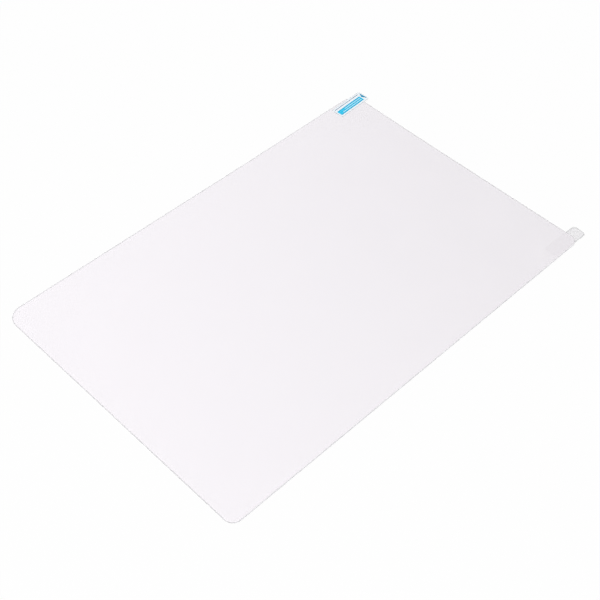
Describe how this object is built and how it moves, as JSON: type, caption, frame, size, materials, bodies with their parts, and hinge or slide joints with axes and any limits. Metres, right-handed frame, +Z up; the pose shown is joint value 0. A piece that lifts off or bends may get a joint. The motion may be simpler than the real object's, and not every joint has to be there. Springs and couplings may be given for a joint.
{
  "type": "laptop screen protector",
  "caption": "Clear rectangular screen protector film with round corners, lying flat, with a printed and a clear pull tab at one short edge.",
  "frame": {"origin": "centre of the film's outline, on the underside of the release liner, where the film lies on the table", "axes": "+X along the film's length towards the short edge with the two pull tabs, +Y across the film towards the printed pull tab, +Z up out of the film, on the side of the mask"},
  "size_m": [0.3085, 0.199, 0.0004],
  "materials": {
    "release_liner": "clear polyester liner, smooth and glossy",
    "protector_film": "clear polyester film with a faint cool tint, glossy",
    "mask_film": "clear thin mask film, softly glossy",
    "clear_tab": "clear adhesive tape, slightly hazy",
    "white_label": "white polyester label stock, satin",
    "blue_ink": "printed sky blue, satin",
    "deep_blue_ink": "printed deep blue, satin",
    "grey_blue_ink": "printed grey blue, satin"
  },
  "bodies": {
    "root": {"back_liner": "release_liner", "screen_film": "protector_film", "front_mask": "mask_film", "clear_pull_tab": "clear_tab", "printed_pull_tab": "white_label", "label_band": "blue_ink", "label_arrow": "deep_blue_ink", "label_row": "grey_blue_ink"}
  },
  "joints": []
}
